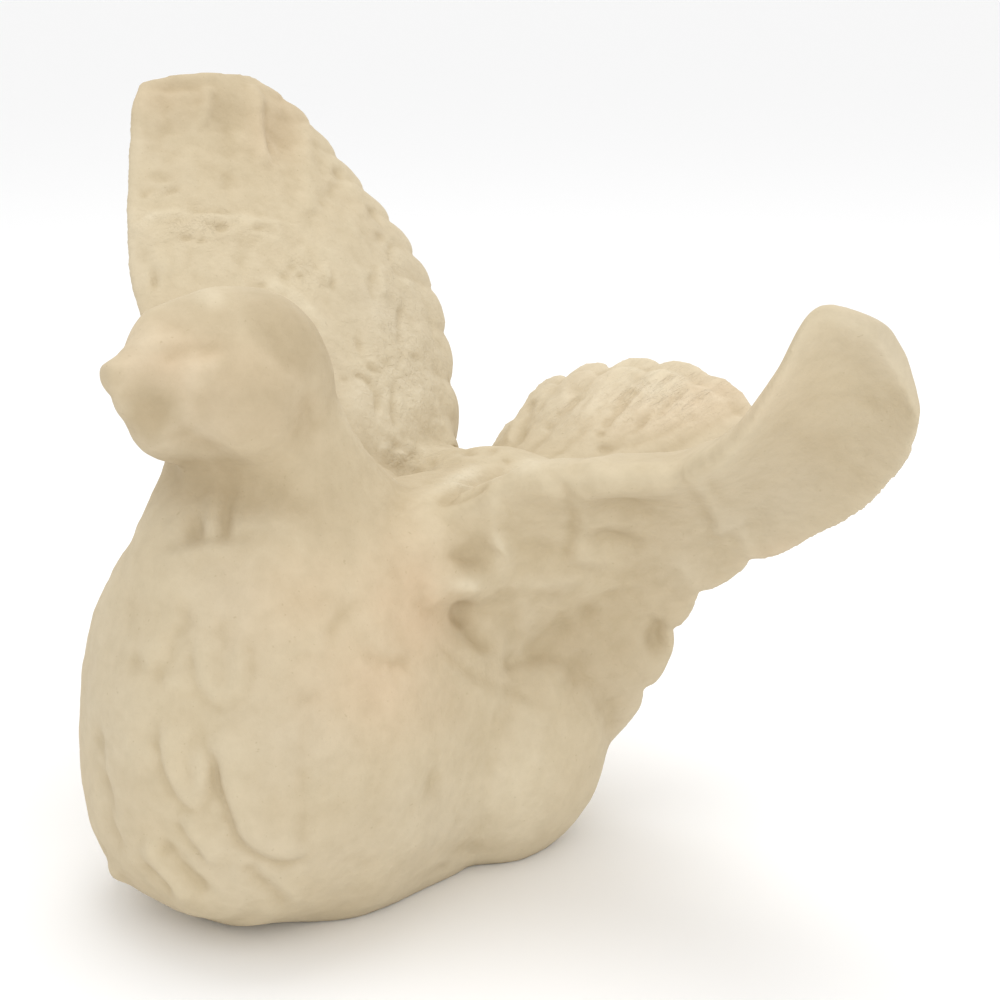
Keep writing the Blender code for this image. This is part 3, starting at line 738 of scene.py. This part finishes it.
def tint(name, *spots):
    """Soft spots of a tint: how much, where in the picture, half sizes, turn, and 1 for the far wing only or -1 for all but it."""
    total = np.zeros(len(P))
    for much, at, size, turn, *part in spots:
        much = much * ({1: WING_BEHIND, -1: 1 - WING_BEHIND}[part[0]] if part else 1.0)
        c, s = math.cos(math.radians(turn)), math.sin(math.radians(turn))
        q = SHOWN - np.array(at)
        r2 = ((q[:, 0] * c + q[:, 1] * s) / size[0]) ** 2 + ((-q[:, 0] * s + q[:, 1] * c) / size[1]) ** 2
        total = np.maximum(total, much * np.exp(-r2))
    skin.attributes.new(name, "FLOAT", "POINT").data.foreach_set("value", (total * SIDE).astype(np.float32))


tint("pink", (1.1, (675, 400), (85, 30), -8), (0.4, (590, 380), (40, 22), -20), (0.8, (180, 360), (60, 40), 0), (0.7, (245, 395), (60, 55), 0),
     (0.95, (405, 610), (50, 75), 0), (0.8, (370, 680), (70, 60), 0), (0.7, (277, 125), (26, 34), 0), (0.5, (165, 95), (40, 20), 0),
     (0.4, (300, 600), (80, 60), 0), (0.5, (775, 552), (30, 12), -20))
# paler tint, partly rubbed casting and partly painted light: highlights on the crown, the back's lumps and the wings'
# ridges, and lighter patches on the haunch, the tail and the far wing's lower coverts
tint("pale_and_painted_light", (1.3, (463, 476), (25, 8), -22), (1.1, (528, 466), (22, 8), -12), (0.9, (466, 585), (18, 7), 4), (0.8, (500, 552), (8, 22), -12),
     (0.6, (210, 298), (16, 11), 0), (0.5, (160, 216), (40, 6), 0), (0.5, (240, 219), (46, 6), 0), (0.15, (625, 474), (52, 9), 0), (0.3, (198, 372), (22, 18), 0),
     (0.8, (296, 303), (58, 14), 42, 1), (0.5, (356, 405), (16, 26), 0), (0.7, (405, 440), (44, 16), 10), (1.1, (400, 405), (60, 60), 0, 1), (0.6, (500, 790), (75, 60), 0), (1.3, (640, 388), (100, 44), 0),
     (0.3, (250, 250), (110, 45), 0), (0.4, (153, 345), (22, 14), -20))
# darker tint, partly dirt and partly painted shade: under the beak and the head, down the throat and nape, along the
# brow, in the near wing's hollows and underside, and on the top of the far wing
tint("dirt_and_painted_shade", (1.5, (150, 412), (28, 34), 8), (0.7, (185, 443), (44, 18), 32), (0.55, (225, 346), (78, 9), -3, -1), (0.5, (280, 385), (26, 50), -20, -1), (1.9, (285, 332), (62, 30), 48, -1), (1.0, (215, 480), (90, 44), 6), (0.8, (330, 500), (60, 55), 0), (0.5, (240, 540), (80, 40), 0), (0.85, (190, 100), (85, 46), 0),
     (1.0, (255, 400), (62, 56), 0, -1), (0.6, (112, 380), (18, 14), 0), (0.85, (281, 125), (24, 34), 0), (0.4, (230, 165), (90, 50), 0), (0.4, (300, 800), (90, 70), 0), (0.3, (800, 450), (60, 60), 0),
     (0.3, (285, 700), (75, 110), 0), (0.85, (610, 640), (65, 50), -20), (0.75, (215, 318), (60, 24), 0, -1), (0.3, (640, 530), (60, 40), 0), (0.5, (656, 640), (10, 18), 0),
     (0.5, (620, 512), (50, 14), 2), (0.5, (474, 556), (22, 12), 14), (0.5, (464, 622), (10, 26), -25), (0.4, (200, 352), (50, 8), -10), (0.5, (112, 392), (10, 10), 0))
tint("cool", (0.7, (400, 410), (50, 60), 0, 1), (0.4, (560, 410), (60, 40), 0), (0.9, (770, 510), (90, 50), -25), (0.7, (690, 560), (50, 40), -30), (0.6, (380, 300), (60, 90), 30), (0.5, (110, 720), (30, 130), 0), (0.4, (870, 440), (50, 60), 0), (0.4, (500, 830), (90, 40), 0))
tint("crumb", (0.3, (250, 200), (150, 150), 0, 1), (0.35, (420, 370), (60, 90), 0, 1), (1.0, (200, 225), (75, 20), 4), (0.7, (160, 195), (30, 8), -8), (0.8, (305, 275), (30, 24), 30), (0.9, (405, 455), (36, 12), 12),
     (0.7, (462, 480), (28, 12), -22), (0.6, (390, 260), (14, 30), 0), (0.5, (370, 370), (30, 30), 0), (0.5, (150, 285), (12, 20), 0), (0.6, (660, 405), (90, 26), -8),
     (0.4, (420, 400), (30, 60), 0))
tint("streaks", (1.0, (665, 392), (85, 30), -4), (0.5, (560, 410), (50, 34), 0), (0.45, (400, 350), (60, 90), 0, 1), (0.5, (430, 462), (60, 22), 0), (0.3, (200, 235), (90, 30), 0, 1))
skin.name = "dove"
skin.shade_smooth()
dove = bpy.data.objects.new("dove", skin)
bpy.context.scene.collection.objects.link(dove)
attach(dove, "root")
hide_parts(NODE)


# ---------------------------------------------------------------- finish of the casting
def casting():
    mat = bpy.data.materials.new("cast cream")
    mat.use_nodes = True
    tree = mat.node_tree
    nodes, links = tree.nodes, tree.links
    shader = nodes["Principled BSDF"]
    where = nodes.new("ShaderNodeTexCoord").outputs["Object"]

    def noise(scale, detail=3.0, rough=0.55, kind="FBM"):
        n = nodes.new("ShaderNodeTexNoise")
        n.inputs["Scale"].default_value = scale
        n.inputs["Detail"].default_value = detail
        n.inputs["Roughness"].default_value = rough
        links.new(where, n.inputs["Vector"])
        return n.outputs["Fac"]

    def ramp(value, *stops):
        n = nodes.new("ShaderNodeValToRGB")
        e = n.color_ramp.elements
        while len(e) < len(stops):
            e.new(0.5)
        for at, (pos, colour) in zip(e, stops):
            at.position = pos
            at.color = (*colour, 1.0) if len(colour) == 3 else colour
        links.new(value, n.inputs["Fac"])
        return n.outputs["Color"]

    def mix(fac, a, b, mode="MIX"):
        n = nodes.new("ShaderNodeMix")
        n.data_type = "RGBA"
        n.blend_type = mode
        if isinstance(fac, float):
            n.inputs["Factor"].default_value = fac
        else:
            links.new(fac, n.inputs["Factor"])
        for socket, value in (("A", a), ("B", b)):
            s = [i for i in n.inputs if i.name == socket and i.type == "RGBA"][0]
            if isinstance(value, tuple):
                s.default_value = (*value, 1.0)
            else:
                links.new(value, s)
        return [o for o in n.outputs if o.type == "RGBA"][0]

    broad = ramp(noise(22.0, 4.0), (0.30, (0.562, 0.468, 0.318)), (0.50, (0.592, 0.502, 0.348)), (0.70, (0.590, 0.506, 0.366)))

    def by_hand(name, strength, breakup):
        """A tint whose edge is broken up by noise."""
        a = nodes.new("ShaderNodeAttribute")
        a.attribute_name = name
        n = nodes.new("ShaderNodeMath")
        n.operation = "MULTIPLY"
        links.new(a.outputs["Fac"], n.inputs[0])
        m = nodes.new("ShaderNodeMapRange")
        m.inputs["From Min"].default_value = 0.3
        m.inputs["From Max"].default_value = 0.7
        m.inputs["To Min"].default_value = 0.6 * strength
        m.inputs["To Max"].default_value = strength
        links.new(noise(breakup, 3.0), m.inputs["Value"])
        links.new(m.outputs["Result"], n.inputs[1])
        return n.outputs["Value"]

    colour = mix(by_hand("pink", 0.8, 60.0), broad, (0.655, 0.492, 0.330))
    colour = mix(by_hand("cool", 0.7, 50.0), colour, (0.590, 0.520, 0.395))
    # darker tint: dirt mixed with painted shade under the head, in the hollows and under the near wing
    colour = mix(by_hand("dirt_and_painted_shade", 1.0, 60.0), colour, (0.465, 0.375, 0.242))
    # paler tint: rubbed casting mixed with painted light and highlights
    colour = mix(by_hand("pale_and_painted_light", 0.6, 200.0), colour, (0.740, 0.660, 0.500))
    # fine streaks along the tail's feathers
    turn = nodes.new("ShaderNodeMapping")
    turn.vector_type = "TEXTURE"
    turn.inputs["Rotation"].default_value = (TAIL_RISE, 0.0, math.radians(-18.0))
    turn.inputs["Scale"].default_value = (1.0, 5.0, 1.4)
    links.new(where, turn.inputs["Vector"])
    grain = nodes.new("ShaderNodeTexNoise")
    grain.inputs["Scale"].default_value = 700.0
    grain.inputs["Detail"].default_value = 3.0
    grain.inputs["Roughness"].default_value = 0.6
    grain.inputs["Distortion"].default_value = 0.6
    links.new(turn.outputs["Vector"], grain.inputs["Vector"])
    crack = nodes.new("ShaderNodeMath")
    crack.operation = "MULTIPLY"
    links.new(ramp(grain.outputs["Fac"], (0.36, (1.0, 1.0, 1.0)), (0.56, (0.0, 0.0, 0.0))), crack.inputs[0])
    links.new(by_hand("streaks", 1.0, 90.0), crack.inputs[1])
    shade = nodes.new("ShaderNodeMath")
    shade.operation = "MULTIPLY"
    shade.inputs[1].default_value = 0.11
    links.new(crack.outputs["Value"], shade.inputs[0])
    colour = mix(shade.outputs["Value"], colour, (0.400, 0.285, 0.180))
    fine = ramp(noise(260.0, 5.0, 0.65), (0.30, (0.93, 0.925, 0.91)), (0.62, (1.0, 1.0, 1.0)))
    colour = mix(1.0, colour, fine, "MULTIPLY")
    pits = ramp(noise(1100.0, 2.0), (0.24, (0.88, 0.87, 0.84)), (0.31, (1.0, 1.0, 1.0)))
    colour = mix(1.0, colour, pits, "MULTIPLY")
    sunken = nodes.new("ShaderNodeAttribute")
    sunken.attribute_name = "sunken"
    hold = nodes.new("ShaderNodeMapRange")
    hold.inputs["From Min"].default_value = -0.9
    hold.inputs["From Max"].default_value = 0.9
    links.new(sunken.outputs["Fac"], hold.inputs["Value"])
    # the finish is darker the more sunken a point is, in every crease and hollow
    darker_in_creases = ramp(hold.outputs["Result"], (0.15, (1.0, 1.0, 1.0)), (0.50, (0.965, 0.955, 0.94)), (0.85, (0.88, 0.855, 0.81)))
    colour = mix(1.0, colour, darker_in_creases, "MULTIPLY")
    links.new(colour, shader.inputs["Base Color"])
    rough = ramp(noise(180.0, 3.0), (0.3, (0.72, 0.72, 0.72)), (0.7, (0.92, 0.92, 0.92)))
    links.new(rough, shader.inputs["Roughness"])
    shader.inputs["Specular IOR Level"].default_value = 0.25

    bump = nodes.new("ShaderNodeBump")
    bump.inputs["Strength"].default_value = 0.5
    bump.inputs["Distance"].default_value = 0.00035
    links.new(noise(520.0, 6.0, 0.62), bump.inputs["Height"])
    coarse = nodes.new("ShaderNodeBump")
    coarse.inputs["Strength"].default_value = 0.45
    coarse.inputs["Distance"].default_value = 0.0008
    links.new(noise(150.0, 3.0), coarse.inputs["Height"])
    links.new(bump.outputs["Normal"], coarse.inputs["Normal"])
    chips = nodes.new("ShaderNodeBump")
    chips.inputs["Strength"].default_value = 0.6
    chips.inputs["Distance"].default_value = 0.0009
    split = nodes.new("ShaderNodeBump")
    split.invert = True
    split.inputs["Strength"].default_value = 0.6
    split.inputs["Distance"].default_value = 0.0006
    links.new(crack.outputs["Value"], split.inputs["Height"])
    links.new(coarse.outputs["Normal"], split.inputs["Normal"])
    height = nodes.new("ShaderNodeMath")
    height.operation = "MULTIPLY"
    links.new(ramp(noise(340.0, 3.0, 0.6), (0.30, (0.0, 0.0, 0.0)), (0.52, (0.75, 0.75, 0.75)), (0.75, (1.0, 1.0, 1.0))), height.inputs[0])
    links.new(by_hand("crumb", 1.0, 80.0), height.inputs[1])
    links.new(height.outputs["Value"], chips.inputs["Height"])
    links.new(split.outputs["Normal"], chips.inputs["Normal"])
    links.new(chips.outputs["Normal"], shader.inputs["Normal"])
    return mat


skin.materials.clear()
skin.materials.append(casting())

# ---------------------------------------------------------------- stage, light and camera
floor_mesh = bpy.data.meshes.new("floor")
floor_mesh.from_pydata([(-4, -4, 0), (4, -4, 0), (4, 4, 0), (-4, 4, 0)], [], [(0, 1, 2, 3)])
floor = bpy.data.objects.new("floor", floor_mesh)
floor.location.z = -0.0002
bpy.context.scene.collection.objects.link(floor)
white = bpy.data.materials.new("floor white")
white.use_nodes = True
shader = white.node_tree.nodes["Principled BSDF"]
shader.inputs["Base Color"].default_value = (0.93, 0.93, 0.93, 1.0)
shader.inputs["Roughness"].default_value = 0.9
floor_mesh.materials.append(white)

world = bpy.data.worlds.new("studio")
bpy.context.scene.world = world
world.use_nodes = True
world.node_tree.nodes["Background"].inputs["Color"].default_value = (1.0, 1.0, 1.0, 1.0)
world.node_tree.nodes["Background"].inputs["Strength"].default_value = 1.0


def lamp(name, place, aim, size, watts):
    data = bpy.data.lights.new(name, "AREA")
    data.shape = "DISK"
    data.size = size
    data.energy = watts
    ob = bpy.data.objects.new(name, data)
    ob.location = place
    ob.rotation_euler = (Vector(aim) - Vector(place)).to_track_quat("-Z", "Y").to_euler()
    bpy.context.scene.collection.objects.link(ob)


lamp("overhead", (-0.12, 0.12, 0.8), (0, 0, 0.07), 0.6, 2.0)
lamp("front", (0.62, -0.4, 0.2), (0, 0, 0.04), 0.8, 1.4)

camera_data = bpy.data.cameras.new("camera")
camera_data.sensor_width = 36.0
camera_data.lens = 36.0 * FOCAL / 1000.0
camera_data.clip_start = 0.01
camera = bpy.data.objects.new("camera", camera_data)
place = (EYE - MIDDLE) * MM
camera.matrix_world = Matrix((
    (RIGHT[0], UP[0], BACK[0], place[0]),
    (RIGHT[1], UP[1], BACK[1], place[1]),
    (RIGHT[2], UP[2], BACK[2], place[2]),
    (0, 0, 0, 1),
))
bpy.context.scene.collection.objects.link(camera)
bpy.context.scene.camera = camera
bpy.context.scene.view_settings.view_transform = "Standard"
